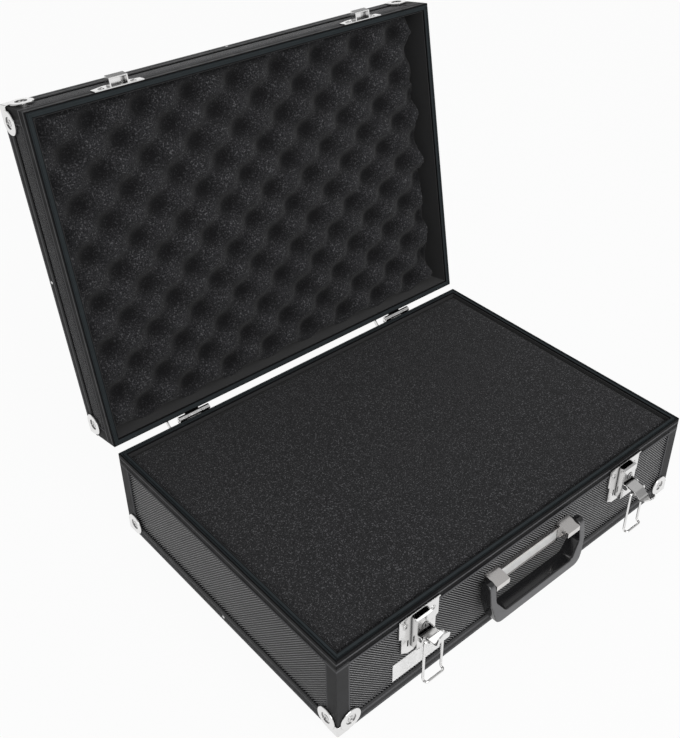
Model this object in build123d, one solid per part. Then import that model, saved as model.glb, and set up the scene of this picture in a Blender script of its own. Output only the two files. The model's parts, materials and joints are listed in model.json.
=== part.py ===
from build123d import *
import os
from math import cos, radians, sin

# Camera case with a hinged lid, two draw latches and a folding handle, in millimetres.
# X runs along the width, the front is at -Y and Z is up. The origin is the middle of the case
# on the plane that it stands on. The lid stands open at lid_open_angle, as it is modelled.

# Case
case_width = 460.0
case_depth = 330.0
base_height = 100.0
lid_height = 50.0
lid_open_angle = 100.0
rim_gap = 0.3

# Wall: board between the sheet flanges of aluminium profiles
sheet = 1.2
board = 4.0
flange = 14.0
inner_flange = 4.0
rim_band = 10.0
rim_web = 3.0
fit = 0.1

# Seal groove in the base rim and the lid's tongue
groove_offset = 1.6
groove_width = 1.8
groove_depth = 1.8
tongue_clearance = 0.35

# Corner caps and rivets
cap_thickness = 1.0
cap_ring_rise = 0.9
cap_ring_bevel = 0.4
cap_dish_radius = 5.5
cap_lobe_radius = 11.0
cap_centre = 13.5
cap_neck = 12.5
cap_rounding = 2.0
rivet_radius = 1.6
rivet_head_radius = 3.0
rivet_head_height = 0.8
rivet_dimple_radius = 1.1
rivet_tail_radius = 2.3
rivet_tail_length = 0.8
hole_clearance = 0.05

# Lining and foam
lining_gap = 0.2
lining = 0.8
soft_gap = 0.3
pad_thickness = 10.0
base_foam_recess = 3.0
lid_foam_recess = 8.0
lining_recess = 1.5

# Egg-crate relief of the lid's foam: staggered rows of round hollows, measured from the
# left and front edges of the case, each row a little further left than the one in front
hollow_column = 51.4
hollow_row = 23.6
hollow_column_start = 34.0
hollow_row_start = 23.4
hollow_lean = 0.96
hollow_radius = 16.5
hollow_depth = 14.0

# Hinges
hinge_inset = 90.0
hinge_width = 36.0
hinge_setback = 4.2
hinge_barrel_radius = 3.0
hinge_pin_radius = 1.5
hinge_leaf_height = 26.0
hinge_leaf_start = 4.0
hinge_middle_share = 16.0
hinge_gap = 0.3
hinge_rivet_spacing = 22.0
hinge_rivet_drop = 12.0
hinge_ear_offset = 29.0
hinge_ear_thickness = 1.5
hinge_ear_reach = 5.0
pin_clearance = 0.05
pin_head = 0.6

# Latches, their heights as drops from the base's rim
latch_inset = 90.0
plate = 1.2
plate_width = 46.0
plate_foot_width = 40.0
plate_top_drop = 4.5
plate_step_drop = 28.0
plate_step_rise = 2.0
plate_bottom_drop = 53.0
plate_corner_width = 8.0
plate_corner_rise = 5.0
plate_hem = 1.5
plate_rivet_spacing = 32.0
plate_rivet_drop = 17.0
plate_slot_offset = 12.5
plate_slot_width = 1.6
plate_slot_length = 8.0
plate_slot_drop = 40.0
housing_width = 18.0
housing_depth = 8.5
housing_top_drop = 9.0
housing_bottom_drop = 46.0
housing_lip = 3.0
latch_axis_drop = 29.0
latch_axis_offset = 11.3
latch_pin_radius = 1.2
ear_radius = 3.0
ear_neck = 2.6
lever_width = 14.0
lever_barrel_radius = 2.4
lever_sheet = 1.4
lever_rise = 1.7
lever_length = 27.0
lever_flat = 10.0
lever_dip_place = 18.5
lever_dip = -2.6
lever_curl = 8.0
lever_bend_radius = 3.5
lever_ear_radius = 2.6
lever_ear_thickness = 1.2
lever_closed_angle = 85.0
lever_open_angle_left = -28.0
lever_open_angle_right = 14.0
bail_arm = 9.0
bail_wire_radius = 1.2
bail_half_width = 10.8
bail_foot = 4.2
bail_foot_bend = 1.8
bail_corner = 2.2
bail_end_clearance = 0.5
hook_clearance = 0.3
lock_drop = 19.5
lock_radius = 3.8
lock_flange_radius = 4.6
lock_flange = 1.2
lock_proud = 0.5
lock_cam_length = 6.0
lock_cam_width = 4.0
keyway_length = 4.4
keyway_width = 1.2
keyway_depth = 2.0

# Lid catches
catch_half_width = 24.5
catch_start = 0.6
catch_side_height = 9.0
catch_top_height = 13.5
catch_shoulder = 11.0
catch_arch_half_width = 9.2
catch_arch_height = 8.4
catch_arch_proud_near = 9.2
catch_arch_proud_far = 10.5
catch_rivet_spacing = 32.0
catch_rivet_height = 5.4

# Handle
bracket_half_width = 57.5
strip_top = 70.0
strip_bottom = 53.5
strip_thickness = 1.5
strip_flange = 2.5
end_cap_width = 17.0
end_cap_depth = 15.0
end_cap_top = 74.0
end_cap_bottom = 56.0
end_cap_lip_top = 70.5
end_cap_lip_bottom = 65.0
end_cap_wall = 1.2
handle_axis_height = 67.8
handle_axis_offset = 8.5
handle_pin_radius = 1.8
handle_pin_inside = 3.0
grip_gap = 0.3
grip_arm = 7.4
grip_knuckle_radius = 6.5
grip_arm_straight = 16.0
grip_bottom = 24.0
grip_top = 35.5
grip_back = 3.5
grip_front = 19.5
grip_taper = 7.5
grip_inner_taper = 11.5
grip_corner = 10.0
grip_inner_corner = 4.0

# Blank label
label_width = 57.0
label_height = 21.0
label_left = 62.5
label_bottom = 19.0
label_thickness = 0.5

# Worked out from the sizes above
core = sheet + board
inner = core + sheet
cap_proud = cap_thickness + cap_ring_rise
base_rim = base_height
lid_rim = base_rim + rim_gap
lid_top = base_height + lid_height
base_shell = base_rim - cap_proud
lid_shell = lid_top - cap_proud - lid_rim
latch_x = case_width / 2 - latch_inset
hinge_x = case_width / 2 - hinge_inset
front_face = -case_depth / 2
back_face = case_depth / 2
panel_face = front_face + sheet
hinge_y = back_face + hinge_setback
hinge_z = base_rim
hinge_line = Axis((0, hinge_y, hinge_z), (1, 0, 0))
latch_y = front_face - latch_axis_offset
latch_z = base_rim - latch_axis_drop
plate_top = base_rim - plate_top_drop
plate_step = base_rim - plate_step_drop
plate_bottom = base_rim - plate_bottom_drop
plate_rivet_height = base_rim - plate_rivet_drop
plate_slot_height = base_rim - plate_slot_drop
housing_top = base_rim - housing_top_drop
housing_bottom = base_rim - housing_bottom_drop
lock_height = base_rim - lock_drop
hook_z = lid_rim + catch_arch_height + hook_clearance + bail_wire_radius
closed_arm_z = latch_z - bail_arm * sin(radians(lever_closed_angle))
bail_length = hook_z - closed_arm_z
handle_y = front_face - handle_axis_offset
handle_z = handle_axis_height
lining_face = inner + lining_gap
foam_face = lining_face + lining + soft_gap

parts = {}


def block(x0, x1, y0, y1, z0, z1):
    centre = ((x0 + x1) / 2, (y0 + y1) / 2, (z0 + z1) / 2)
    return Pos(*centre) * Box(abs(x1 - x0), abs(y1 - y0), abs(z1 - z0))


def rod(start, direction, radius, length):
    return Plane(origin=start, z_dir=direction) * Cylinder(
        radius, length, align=(Align.CENTER, Align.CENTER, Align.MIN)
    )


def prism_x(points, x0, x1):
    """A (y, z) outline carried along X from x0 to x1."""
    face = make_face(Polyline(*[(0, y, z) for y, z in points], close=True))
    return Pos(x0, 0, 0) * extrude(face, x1 - x0, dir=(1, 0, 0))


def prism_y(points, y0, y1):
    """A (x, z) outline carried along Y from y0 to y1."""
    face = make_face(Polyline(*[(x, 0, z) for x, z in points], close=True))
    return Pos(0, y0, 0) * extrude(face, y1 - y0, dir=(0, 1, 0))


def open_lid(shape):
    """Turn a piece of the closed lid to where the lid stands open."""
    return shape.rotate(hinge_line, -lid_open_angle)


def one_solid(shape):
    solids = shape.solids()
    return solids[0] if len(solids) == 1 else Compound(children=solids)


# Shell halves are drawn with the outer face at height 0 and the rim at full height


def on_side(shape, side):
    """A piece drawn for a wall at y = 0, running along X and inward to +Y, is set on one side."""
    turn = {"front": 0, "right": 90, "back": 180, "left": 270}[side]
    reach = case_depth / 2 if side in ("front", "back") else case_width / 2
    return Rot(0, 0, turn) * (Pos(0, -reach, 0) * shape)


def wall_length(side):
    return case_width if side in ("front", "back") else case_depth


def mitred(shape, length, height):
    """Cut the ends at 45 degrees in plan, as picture frame corners."""
    half = length / 2
    reach = flange + inner
    outline = [(-half, 0), (half, 0), (half - reach, reach), (-half + reach, reach)]
    plan = make_face(Polyline(*[(x, y, 0) for x, y in outline], close=True))
    return shape & extrude(plan, height, dir=(0, 0, 1))


def rim_profile(side, shell, with_tongue):
    length = wall_length(side)
    half = length / 2
    web = block(-half, half, 0, inner, shell - rim_web, shell)
    outer_wall = block(-half, half, 0, sheet, shell - rim_band, shell)
    inner_wall = block(-half, half, core, inner, shell - rim_band, shell)
    bar = web + outer_wall + inner_wall
    near = groove_offset
    far = groove_offset + groove_width
    if with_tongue:
        height = groove_depth - tongue_clearance
        near += tongue_clearance
        far -= tongue_clearance
        bar += block(-half, half, near, far, shell - rim_gap, shell + height)
    else:
        bar -= block(-half, half, near, far, shell - groove_depth, shell)
    return mitred(bar, length, shell + groove_depth)


def edge_profile(side, shell):
    length = wall_length(side)
    half = length / 2
    bar = block(-half, half, 0, sheet, 0, flange)
    bar += block(-half, half, 0, flange, 0, sheet)
    bar += block(-half, half, sheet / 2, inner, sheet / 2, inner)
    bar += block(-half, half, core, inner, inner / 2, inner + inner_flange)
    bar += block(-half, half, inner / 2, inner + inner_flange, core, inner)
    return mitred(bar, length, shell)


def corner_post(shell):
    """A post for the corner at x = 0, y = 0, running inward to +X and +Y."""
    z0 = flange + fit
    z1 = shell - rim_band - fit
    post = block(0, flange, 0, sheet, z0, z1)
    post += block(0, sheet, 0, flange, z0, z1)
    post += block(sheet / 2, inner, sheet / 2, inner, z0, z1)
    post += block(inner / 2, inner + inner_flange, core, inner, z0, z1)
    post += block(core, inner, inner / 2, inner + inner_flange, z0, z1)
    return post


def corner_cap():
    """A cap of three round lobes for the corner at x = 0, y = 0, z = 0."""
    size = cap_centre + cap_lobe_radius + cap_neck
    low = -cap_thickness
    outer = block(low, size, low, size, low, size)
    near_edges = [e for e in outer.edges() if sum(abs(v - low) < fit for v in e.center()) == 2]
    shell = fillet(near_edges, cap_rounding) - block(0, size, 0, size, 0, size)
    reach = cap_neck - low
    neck = Pos(low + reach / 2, low + reach / 2) * Rectangle(reach, reach)
    lobe = neck + Pos(cap_centre, cap_centre) * Circle(cap_lobe_radius)
    ring = Cylinder(cap_lobe_radius, cap_ring_rise, align=(Align.CENTER, Align.CENTER, Align.MAX))
    ring = chamfer(ring.edges().group_by(Axis.Z)[0], cap_ring_bevel)
    ring -= Cylinder(cap_dish_radius, 3 * cap_ring_rise)
    below = Plane(origin=(0, 0, low), x_dir=(1, 0, 0), z_dir=(0, 0, 1))
    front = Plane(origin=(0, low, 0), x_dir=(0, 0, 1), z_dir=(0, 1, 0))
    aside = Plane(origin=(low, 0, 0), x_dir=(0, 1, 0), z_dir=(1, 0, 0))
    faces = (below, front, aside)
    lobes = [extrude(face * lobe, reach) for face in faces]
    cap = shell & (lobes[0] + lobes[1] + lobes[2])
    for face in faces:
        cap += face * (Pos(cap_centre, cap_centre, 0) * ring)
    return cap


def rivet(place, inward, grip):
    """A pop rivet: domed head on the surface at place, shank through grip, tail beyond it."""
    out = -Vector(*inward)
    start = Vector(*place)
    squash = rivet_head_height / rivet_head_radius
    dome = scale(Sphere(rivet_head_radius), by=(1, 1, squash))
    dome &= rod((0, 0, 0), (0, 0, 1), rivet_head_radius, rivet_head_height)
    dome -= rod((0, 0, rivet_head_height / 2), (0, 0, 1), rivet_dimple_radius, rivet_head_height)
    head = Plane(origin=start, z_dir=out) * dome
    shank = rod(start, tuple(-out), rivet_radius, grip)
    tail = rod(start - out * grip, tuple(-out), rivet_tail_radius, rivet_tail_length)
    return head + shank + tail


def hole(place, inward, grip):
    start = Vector(*place) - Vector(*inward)
    return rod(start, inward, rivet_radius + hole_clearance, grip + 1)


def tail_room(place, inward, grip):
    """What a rivet's tail needs of the lining where it passes a rim profile."""
    start = Vector(*place) + Vector(*inward) * grip
    return rod(start, inward, rivet_tail_radius + soft_gap, foam_face - inner)


def cap_rivet_places():
    """(place, inward direction) of the three rivets of a cap at x = 0, y = 0, z = 0."""
    low = -cap_thickness
    return [
        ((cap_centre, cap_centre, low), (0, 0, 1)),
        ((cap_centre, low, cap_centre), (0, 1, 0)),
        ((low, cap_centre, cap_centre), (1, 0, 0)),
    ]


def at_corner(shape, sx, sy):
    """A piece drawn for the corner at x = 0, y = 0 is mirrored to one corner of the case."""
    if sx > 0:
        shape = mirror(shape, Plane.YZ)
    if sy > 0:
        shape = mirror(shape, Plane.XZ)
    return Pos(sx * case_width / 2, sy * case_depth / 2, 0) * shape


def cut(shape, cutters):
    box = shape.bounding_box()
    for cutter in cutters:
        other = cutter.bounding_box()
        apart = (
            box.min.X > other.max.X or box.max.X < other.min.X
            or box.min.Y > other.max.Y or box.max.Y < other.min.Y
            or box.min.Z > other.max.Z or box.max.Z < other.min.Z
        )
        if not apart:
            shape = shape - cutter
    return shape


corners = [(-1, -1), (1, -1), (1, 1), (-1, 1)]
sides = ["front", "back", "left", "right"]
cap_grip = cap_thickness + core


def shell_pieces(name, shell, with_tongue, place, other_holes):
    """Panels, profiles, posts and caps of one half, each put in the case by place()."""
    cutters = list(other_holes)
    rivets = []
    for sx, sy in corners:
        for spot, inward in cap_rivet_places():
            cutters.append(place(at_corner(hole(spot, inward, cap_grip + 1), sx, sy)))
            rivets.append(place(at_corner(rivet(spot, inward, cap_grip), sx, sy)))
    start = inner + fit
    for side in sides:
        half = wall_length(side) / 2 - start
        panel = block(-half, half, sheet, core, start, shell - rim_web - fit)
        parts[f"{name}_panel_{side}"] = cut(place(on_side(panel, side)), cutters)
        rim = rim_profile(side, shell, with_tongue)
        parts[f"{name}_rim_{side}"] = cut(place(on_side(rim, side)), cutters)
        edge = edge_profile(side, shell)
        parts[f"{name}_edge_{side}"] = cut(place(on_side(edge, side)), cutters)
    x = case_width / 2 - start
    y = case_depth / 2 - start
    flat = "panel_bottom" if name == "base" else "panel_top"
    parts[f"{name}_{flat}"] = cut(place(block(-x, x, -y, y, sheet, core)), cutters)
    posts = [place(at_corner(corner_post(shell), sx, sy)) for sx, sy in corners]
    parts[f"{name}_corner_posts"] = Compound(children=[one_solid(cut(p, cutters)) for p in posts])
    caps = [place(at_corner(corner_cap(), sx, sy)) for sx, sy in corners]
    parts[f"{name}_corner_caps"] = Compound(children=[one_solid(cut(c, cutters)) for c in caps])
    return rivets


def lining_sleeve(shell):
    """A thin sleeve round the inside of the walls."""
    x = case_width / 2 - lining_face
    y = case_depth / 2 - lining_face
    outside = block(-x, x, -y, y, lining_face, shell - lining_recess)
    x -= lining
    y -= lining
    return outside - block(-x, x, -y, y, 0, shell)


def foam_block(z0, z1):
    x = case_width / 2 - foam_face
    y = case_depth / 2 - foam_face
    return block(-x, x, -y, y, z0, z1)


def egg_crate_hollows(height):
    """Balls that cut the round hollows of the lid's foam, whose peaks are at height."""
    radius = (hollow_radius**2 + hollow_depth**2) / (2 * hollow_depth)
    x_reach = case_width / 2 - foam_face + hollow_radius
    y_reach = case_depth / 2 - foam_face + hollow_radius
    hollows = []
    for row in range(-1, int(case_depth / hollow_row) + 1):
        y = hollow_row_start + row * hollow_row - case_depth / 2
        start = hollow_column_start - row * hollow_lean - case_width / 2
        if row % 2 == 0:
            start -= hollow_column / 2
        for column in range(int(case_width / hollow_column) + 2):
            x = start + column * hollow_column
            if abs(x) < x_reach and abs(y) < y_reach:
                hollows.append(Pos(x, y, height - hollow_depth + radius) * Sphere(radius))
    return hollows


# Latch pieces, drawn about x = 0 at their real Y and Z


def latch_plate():
    foot = plate_foot_width / 2
    half = plate_width / 2
    step = plate_step
    outline = [
        (-half, plate_top),
        (half, plate_top),
        (half, step),
        (foot, step - plate_step_rise),
        (foot, plate_bottom + plate_corner_rise),
        (foot - plate_corner_width, plate_bottom),
        (-foot + plate_corner_width, plate_bottom),
        (-foot, plate_bottom + plate_corner_rise),
        (-foot, step - plate_step_rise),
        (-half, step),
    ]
    shape = prism_y(outline, front_face - plate, front_face)
    below_rim = block(-half, half, front_face, panel_face, 0, base_rim - rim_band - fit)
    shape += prism_y(outline, front_face - fit, panel_face) & below_rim
    hem_front = front_face - plate - plate_hem
    hem_low = plate_top - plate_hem
    shape += block(-half, half, hem_front, front_face - plate, hem_low, plate_top)
    slot_z = plate_slot_height
    shape -= block(
        -plate_slot_offset - plate_slot_width / 2,
        -plate_slot_offset + plate_slot_width / 2,
        front_face - plate - 1,
        panel_face + 1,
        slot_z - plate_slot_length / 2,
        slot_z + plate_slot_length / 2,
    )
    return shape


def latch_housing():
    half = housing_width / 2
    back = front_face - plate
    front = front_face - housing_depth
    z0 = housing_bottom
    z1 = housing_top
    shape = block(-half, half, front, back, z0, z1)
    shape -= block(-half + sheet, half - sheet, front + sheet, back, z0 + sheet, z1)
    lip_back = front + housing_lip
    shape += block(-half, half, front, lip_back, z1 - sheet, z1)
    for side in (-1, 1):
        outer = side * half
        inside = side * (half - sheet)
        ear = rod((inside, latch_y, latch_z), (side, 0, 0), ear_radius, sheet)
        ear += block(inside, outer, latch_y, front + sheet, latch_z - ear_neck, latch_z + ear_neck)
        shape += ear
    pin_hole = latch_pin_radius + hole_clearance
    shape -= rod((-half - 1, latch_y, latch_z), (1, 0, 0), pin_hole, housing_width + 2)
    lock_hole = lock_radius + hole_clearance
    shape -= rod((0, front - 1, lock_height), (0, 1, 0), lock_hole, sheet + 2)
    return shape


def latch_pin():
    half = housing_width / 2 + hook_clearance
    return rod((-half, latch_y, latch_z), (1, 0, 0), latch_pin_radius, 2 * half)


def lock_barrel():
    front = front_face - housing_depth
    z = lock_height
    back = front + sheet + lock_flange + fit
    depth = back - (front - lock_proud)
    shape = rod((0, front - lock_proud, z), (0, 1, 0), lock_radius, depth)
    shape += rod((0, back - lock_flange, z), (0, 1, 0), lock_flange_radius, lock_flange)
    cam_half = lock_cam_width / 2
    shape += block(-cam_half, cam_half, back - sheet, back, z - lock_cam_length, z)
    slot_half = keyway_width / 2
    reach = keyway_length / 2
    slot_back = front - lock_proud + keyway_depth
    shape -= block(-slot_half, slot_half, front - 1, slot_back, z - reach, z + reach)
    return shape


def lever(open_angle):
    """Drawn pointing to -Y with the pin at the origin, then turned down by open_angle."""
    half = lever_width / 2
    route = [
        (0, 0, lever_rise),
        (0, -lever_flat, lever_rise),
        (0, -lever_dip_place, lever_dip),
        (0, -lever_length, lever_curl),
    ]
    path = FilletPolyline(*route, radius=lever_bend_radius)
    start = Plane(origin=route[0], x_dir=(1, 0, 0), z_dir=(0, -1, 0))
    shape = sweep(start * Rectangle(lever_width, lever_sheet), path=path)
    tab = (Vector(*route[3]) - Vector(*route[2])).normalized()
    tip = Plane(origin=Vector(*route[3]) - tab * half, x_dir=(1, 0, 0), z_dir=Vector(1, 0, 0).cross(tab))
    beyond = Pos(0, half) * Rectangle(2 * lever_width, lever_width)
    shape -= extrude(tip * (beyond - Circle(half)), lever_sheet, both=True)
    shape += rod((-half, 0, 0), (1, 0, 0), lever_barrel_radius, lever_width)
    for side in (-1, 1):
        inside = side * (half - lever_ear_thickness)
        shape += rod((inside, -bail_arm, 0), (side, 0, 0), lever_ear_radius, lever_ear_thickness)
    for place, radius in ((0, latch_pin_radius), (-bail_arm, bail_wire_radius)):
        shape -= rod((-half - 1, place, 0), (1, 0, 0), radius + pin_clearance, lever_width + 2)
    return Pos(0, latch_y, latch_z) * (Rot(open_angle, 0, 0) * shape)


def arm_point(open_angle):
    """Where the bail's ends sit in the lever's ears."""
    angle = radians(open_angle)
    return latch_y - bail_arm * cos(angle), latch_z - bail_arm * sin(angle)


def bail(open_angle):
    """A wire loop that hangs from the lever's ears, its foot bent outward."""
    y, z = arm_point(open_angle)
    inside = lever_width / 2 - lever_ear_thickness - bail_end_clearance
    half = bail_half_width
    low = z - bail_length
    out = y - bail_foot
    route = [
        (inside, y, z),
        (half, y, z),
        (half, y, low),
        (half, out, low),
        (-half, out, low),
        (-half, y, low),
        (-half, y, z),
        (-inside, y, z),
    ]
    side_bends = [bail_foot_bend, bail_foot_bend]
    bends = side_bends + [bail_corner, bail_corner] + side_bends
    path = FilletPolyline(*route, radius=bends)
    start = Plane(origin=route[0], z_dir=(1, 0, 0))
    return sweep(start * Circle(bail_wire_radius), path=path)


def lid_catch():
    """The catch on the closed lid: a plate with an arch whose far wall holds the bail."""
    low = lid_rim + catch_start
    side_top = lid_rim + catch_side_height
    top = lid_rim + catch_top_height
    outline = [
        (-catch_half_width, low),
        (catch_half_width, low),
        (catch_half_width, side_top),
        (catch_shoulder, top),
        (-catch_shoulder, top),
        (-catch_half_width, side_top),
    ]
    shape = prism_y(outline, front_face - plate, front_face)
    arch_top = lid_rim + catch_arch_height
    back = front_face - plate / 2
    near = front_face - catch_arch_proud_near
    far = front_face - catch_arch_proud_far
    half = catch_arch_half_width
    outside = [(back, low), (near, low), (far, arch_top), (back, arch_top)]
    hollow_back = front_face - plate
    inside = [
        (hollow_back, low - 1),
        (near + plate, low - 1),
        (far + plate, arch_top - plate),
        (hollow_back, arch_top - plate),
    ]
    shape += prism_x(outside, -half, half)
    shape -= prism_x(inside, -half + plate, half - plate)
    return shape


# Handle


def end_cap(side):
    """A pressed cover at one end of the handle bracket, open below."""
    outer_x = side * bracket_half_width
    inner_x = side * (bracket_half_width - end_cap_width)
    lip = front_face - end_cap_depth
    outline = [
        (panel_face, end_cap_bottom),
        (lip, end_cap_lip_bottom),
        (lip, end_cap_lip_top),
        (front_face, end_cap_top),
        (panel_face, end_cap_top),
    ]
    shape = prism_x(outline, min(outer_x, inner_x), max(outer_x, inner_x))
    wall = end_cap_wall
    hollow = [
        (panel_face + 1, end_cap_bottom - end_cap_wall),
        (panel_face + 1, end_cap_top - wall),
        (front_face, end_cap_top - wall),
        (lip + wall, end_cap_lip_top - wall),
        (lip + wall, end_cap_bottom - end_cap_wall),
    ]
    inside_x = sorted((outer_x - side * wall, inner_x + side * wall))
    return shape - prism_x(hollow, *inside_x)


def handle_bracket():
    span = bracket_half_width - end_cap_width + end_cap_wall
    front = panel_face - strip_thickness
    shape = block(-span, span, front, panel_face, strip_bottom, strip_top)
    for z in (strip_top - sheet, strip_bottom):
        shape += block(-span, span, front - strip_flange, front, z, z + sheet)
    for side in (-1, 1):
        back_x = sorted((side * span, side * (bracket_half_width - end_cap_wall / 2)))
        shape += block(*back_x, front, panel_face, end_cap_bottom, end_cap_top)
        shape += end_cap(side)
    pin_hole = handle_pin_radius + hole_clearance
    length = 2 * bracket_half_width + 2
    shape -= rod((-length / 2, handle_y, handle_z), (1, 0, 0), pin_hole, length)
    return shape


def handle_pin(side):
    start = side * (bracket_half_width - end_cap_wall - handle_pin_inside)
    length = handle_pin_inside + end_cap_wall + grip_gap + grip_arm - end_cap_wall
    pin = rod((start, handle_y, handle_z), (side, 0, 0), handle_pin_radius, length)
    head_radius = handle_pin_radius + end_cap_wall / 2
    head_start = side * (bracket_half_width - end_cap_wall - fit - pin_head)
    return pin + rod((head_start, handle_y, handle_z), (side, 0, 0), head_radius, pin_head)


def handle_grip():
    """A moulded U that hangs in front of the panel."""
    inside = bracket_half_width + grip_gap
    outside = inside + grip_arm
    low = grip_bottom
    high = handle_z + grip_knuckle_radius
    waist = handle_z - grip_arm_straight
    bar_top = grip_top
    outer = FilletPolyline(
        (outside, 0, high),
        (outside, 0, waist),
        (outside - grip_taper, 0, low),
        (-outside + grip_taper, 0, low),
        (-outside, 0, waist),
        (-outside, 0, high),
        radius=grip_corner,
    )
    opening = FilletPolyline(
        (inside, 0, high + 1),
        (inside, 0, waist),
        (inside - grip_inner_taper, 0, bar_top),
        (-inside + grip_inner_taper, 0, bar_top),
        (-inside, 0, waist),
        (-inside, 0, high + 1),
        radius=grip_inner_corner,
    )
    body = make_face([*outer.edges(), Line((-outside, 0, high), (outside, 0, high))])
    gap = make_face([*opening.edges(), Line((-inside, 0, high + 1), (inside, 0, high + 1))])
    front = front_face - grip_front
    back = front_face - grip_back
    depth = case_depth / 4
    start = Pos(0, front - depth / 2, 0)
    body = start * extrude(body, depth, dir=(0, 1, 0))
    gap = start * extrude(gap, depth, dir=(0, 1, 0))
    knuckle_front = handle_y - grip_knuckle_radius
    knuckle_back = handle_y + grip_knuckle_radius
    side_view = [
        (knuckle_back, handle_z),
        (knuckle_front, handle_z),
        (front, bar_top),
        (front, low),
        (back, low),
        (back, bar_top),
    ]
    depth_shape = prism_x(side_view, -outside, outside)
    knuckles = rod((-outside, handle_y, handle_z), (1, 0, 0), grip_knuckle_radius, 2 * outside)
    shape = (body - gap) & (depth_shape + knuckles)
    pin_hole = handle_pin_radius + pin_clearance
    for side in (-1, 1):
        start_x = side * (inside - 1)
        length = 1 + grip_arm - end_cap_wall + fit
        shape -= rod((start_x, handle_y, handle_z), (side, 0, 0), pin_hole, length)
    return shape


# Hinges, drawn about x = 0 for the closed lid


def hinge_leaf(on_lid):
    """One leaf: a plate on the back face, with barrel segments round the pin."""
    way = 1 if on_lid else -1
    half = hinge_width / 2
    left = -hinge_ear_offset - hinge_ear_thickness
    middle = hinge_middle_share / 2
    z_near = hinge_z + way * hinge_leaf_start
    z_far = z_near + way * hinge_leaf_height
    shape = block(left, half, back_face, back_face + sheet, z_near, z_far)
    if on_lid:
        segments = [(-middle, middle)]
    else:
        segments = [(-half, -middle - hinge_gap), (middle + hinge_gap, half)]
    outer = hinge_y + hinge_barrel_radius
    for x0, x1 in segments:
        shape += block(x0, x1, back_face, outer, z_near, z_near + way * sheet)
        shape += block(x0, x1, outer - sheet, outer, hinge_z, z_near + way * sheet)
        shape += rod((x0, hinge_y, hinge_z), (1, 0, 0), hinge_barrel_radius, x1 - x0)
    pin_hole = hinge_pin_radius + (pin_clearance if on_lid else hole_clearance)
    shape -= rod((-half - 1, hinge_y, hinge_z), (1, 0, 0), pin_hole, hinge_width + 2)
    return shape


def hinge_ear():
    """A plate across the lid leaf whose edge lands on the base leaf at lid_open_angle."""
    angle = radians(lid_open_angle)
    root = back_face + sheet / 2
    near = hinge_leaf_start
    far = near + hinge_ear_reach
    stop = back_face + sheet + hinge_gap - hinge_y
    outline = [(root, hinge_z + near), (root, hinge_z + far)]
    for drop in (far, near):
        y = hinge_y + stop * cos(angle) + drop * sin(angle)
        z = hinge_z + stop * sin(angle) - drop * cos(angle)
        outline.append((y, z))
    left = -hinge_ear_offset - hinge_ear_thickness / 2
    return prism_x(outline, left, left + hinge_ear_thickness)


def hinge_pin():
    half = hinge_width / 2
    start = (-half - pin_head, hinge_y, hinge_z)
    return rod(start, (1, 0, 0), hinge_pin_radius, hinge_width + 2 * pin_head)


# Rivets that hold the hardware: places on the outer surface and the depth they pass

plate_rivets = []
catch_rivets = []
hinge_base_rivets = []
hinge_lid_rivets = []
screw_places = []
for side in (-1, 1):
    centre = side * latch_x
    for way in (-1, 1):
        x = centre + way * plate_rivet_spacing / 2
        plate_rivets.append((x, front_face - plate, plate_rivet_height))
        x = centre + way * catch_rivet_spacing / 2
        catch_rivets.append((x, front_face - plate, lid_rim + catch_rivet_height))
        x = side * hinge_x + way * hinge_rivet_spacing / 2
        drop = hinge_leaf_start + hinge_rivet_drop
        hinge_base_rivets.append((x, back_face + sheet, hinge_z - drop))
        hinge_lid_rivets.append((x, back_face + sheet, hinge_z + drop))
    x = side * (bracket_half_width - end_cap_width / 2)
    z = (strip_top + strip_bottom) / 2
    screw_places.append((x, panel_face - strip_thickness, z))
inward_front = (0, 1, 0)
inward_back = (0, -1, 0)
screw_grip = strip_thickness + board


def build_base():
    front_work = [(p, inward_front, plate + core) for p in plate_rivets]
    front_work += [(p, inward_front, screw_grip) for p in screw_places]
    back_work = [(p, inward_back, sheet + core) for p in hinge_base_rivets]
    work = front_work + back_work
    holes = [hole(p, way, grip + 1) for p, way, grip in work]
    place = Pos(0, 0, cap_proud)
    rivets = shell_pieces("base", base_shell, False, lambda s: place * s, holes)
    rivets += [rivet(p, way, grip) for p, way, grip in work]
    parts["base_rivets"] = Compound(children=[one_solid(r) for r in rivets])
    parts["base_lining"] = place * lining_sleeve(base_shell)
    pad_bottom = cap_proud + lining_face
    foam_bottom = pad_bottom + pad_thickness + soft_gap
    parts["base_foam_pad"] = foam_block(pad_bottom, pad_bottom + pad_thickness)
    parts["base_foam"] = foam_block(foam_bottom, base_rim - base_foam_recess)
    for name, side in (("left", -1), ("right", 1)):
        move = Pos(side * latch_x, 0, 0)
        parts[f"latch_plate_{name}"] = cut(move * latch_plate(), holes)
        parts[f"latch_housing_{name}"] = move * latch_housing()
        parts[f"latch_pin_{name}"] = move * latch_pin()
        parts[f"lock_barrel_{name}"] = move * lock_barrel()
        move = Pos(side * hinge_x, 0, 0)
        parts[f"hinge_base_leaf_{name}"] = cut(move * hinge_leaf(False), holes)
    pins = [Pos(s * hinge_x, 0, 0) * hinge_pin() for s in (-1, 1)]
    parts["hinge_pins"] = Compound(children=[one_solid(p) for p in pins])
    parts["handle_bracket"] = cut(handle_bracket(), holes)
    parts["handle_pins"] = Compound(children=[one_solid(handle_pin(s)) for s in (-1, 1)])
    left = -case_width / 2 + label_left
    low = label_bottom
    parts["blank_label"] = block(
        left, left + label_width, panel_face - label_thickness, panel_face, low, low + label_height
    )


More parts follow.
